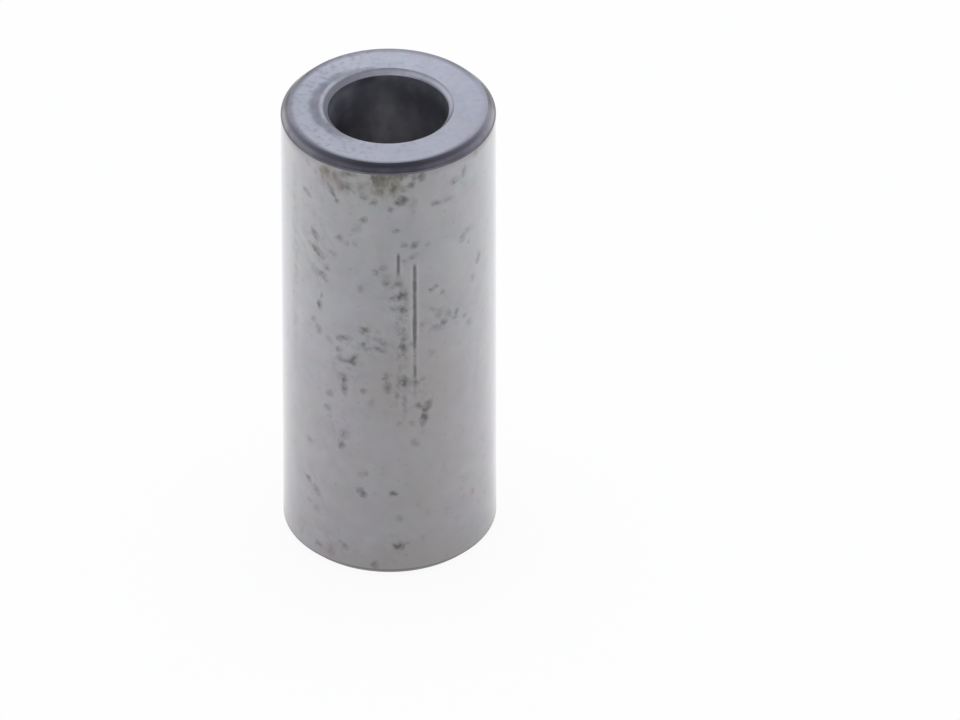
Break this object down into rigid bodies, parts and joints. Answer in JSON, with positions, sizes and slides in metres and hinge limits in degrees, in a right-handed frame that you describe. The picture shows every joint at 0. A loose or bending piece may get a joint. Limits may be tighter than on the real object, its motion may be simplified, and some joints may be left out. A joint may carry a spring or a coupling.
{
  "type": "gudgeon pin",
  "caption": "Hollow steel gudgeon pin with a ground journal, chamfered ends and a plain bore right through, made to join a piston to the small end of a connecting rod.",
  "frame": {"origin": "middle of the lower end, on the surface that the pin stands on", "axes": "+Z along the pin's axis, from the lower end to the upper end; the pin is round, so +X and +Y are any two directions across it"},
  "size_m": [0.016, 0.016, 0.0375],
  "materials": {
    "ground_steel": "ground and polished hardened steel, with handling marks and dried oil specks"
  },
  "bodies": {
    "root": {"gudgeon_pin": "ground_steel"}
  },
  "joints": []
}
